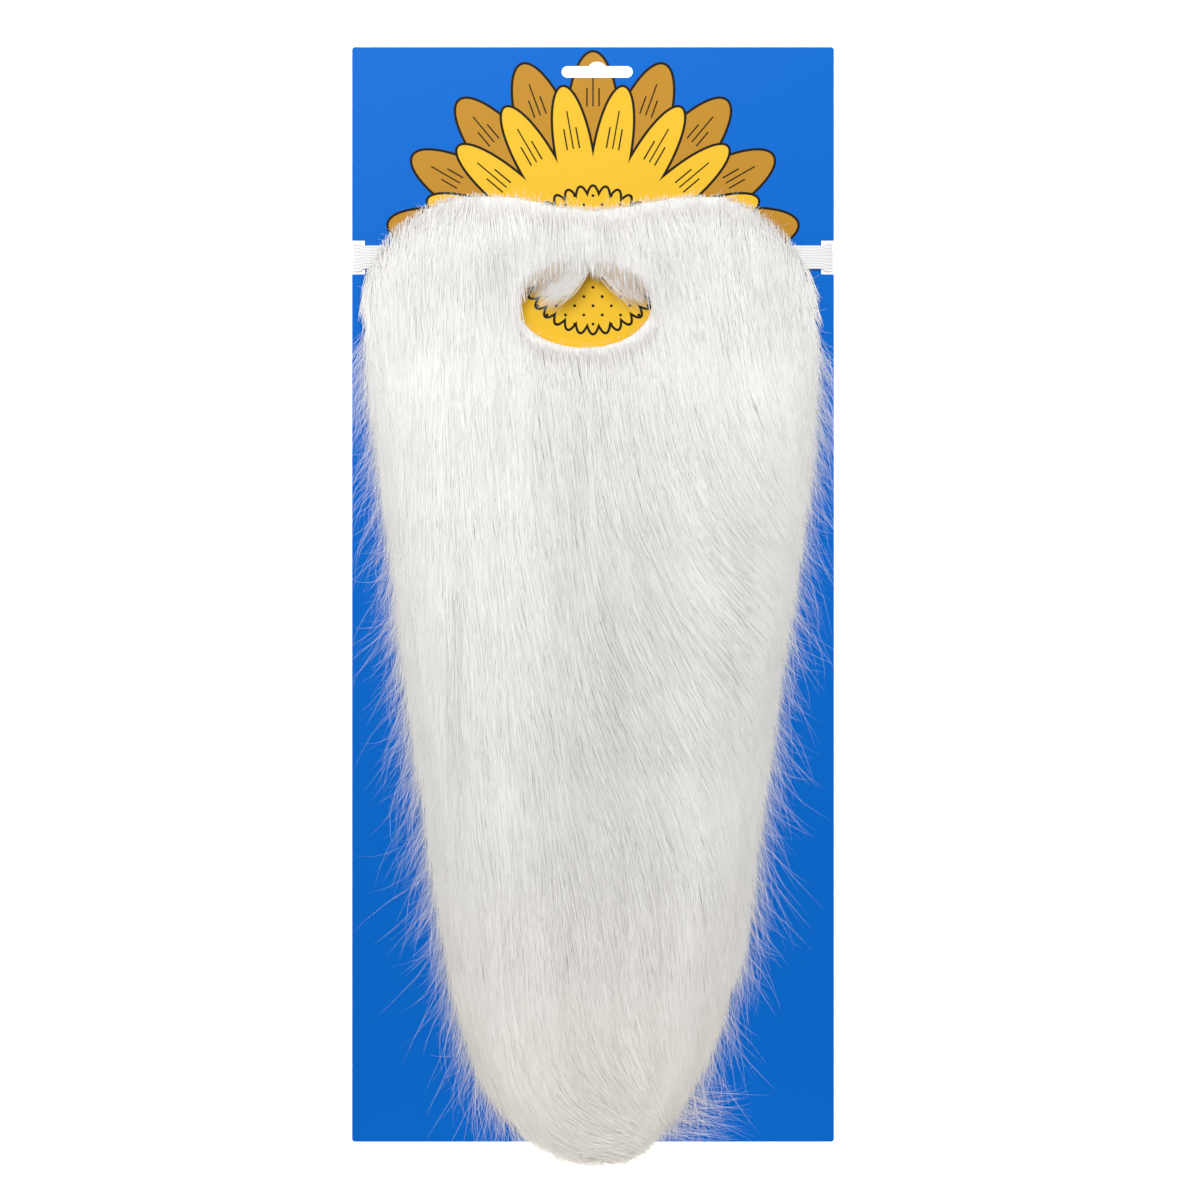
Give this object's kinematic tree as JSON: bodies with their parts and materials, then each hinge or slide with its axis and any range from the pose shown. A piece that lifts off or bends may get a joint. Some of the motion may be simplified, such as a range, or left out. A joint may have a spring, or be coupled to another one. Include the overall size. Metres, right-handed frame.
{
  "type": "fake beard on a display card",
  "caption": "Long white costume beard of deep-pile fur cloth with a mouth opening, stretched flat on a display card by an elastic band that goes round the card.",
  "frame": {"origin": "below the middle of the whole, on the surface that the back stretch of the elastic lies on", "axes": "+X across the card, +Y towards its hang slot, +Z out of its printed front and through the pile"},
  "size_m": [0.21, 0.4876, 0.0263],
  "materials": {
    "display_card": "printed card board with a satin face",
    "elastic_band": "flat woven elastic",
    "beard_fur": "long combed pile"
  },
  "bodies": {
    "root": {"display_card": "display_card", "elastic_band": "elastic_band", "beard_fur": "beard_fur"}
  },
  "joints": []
}
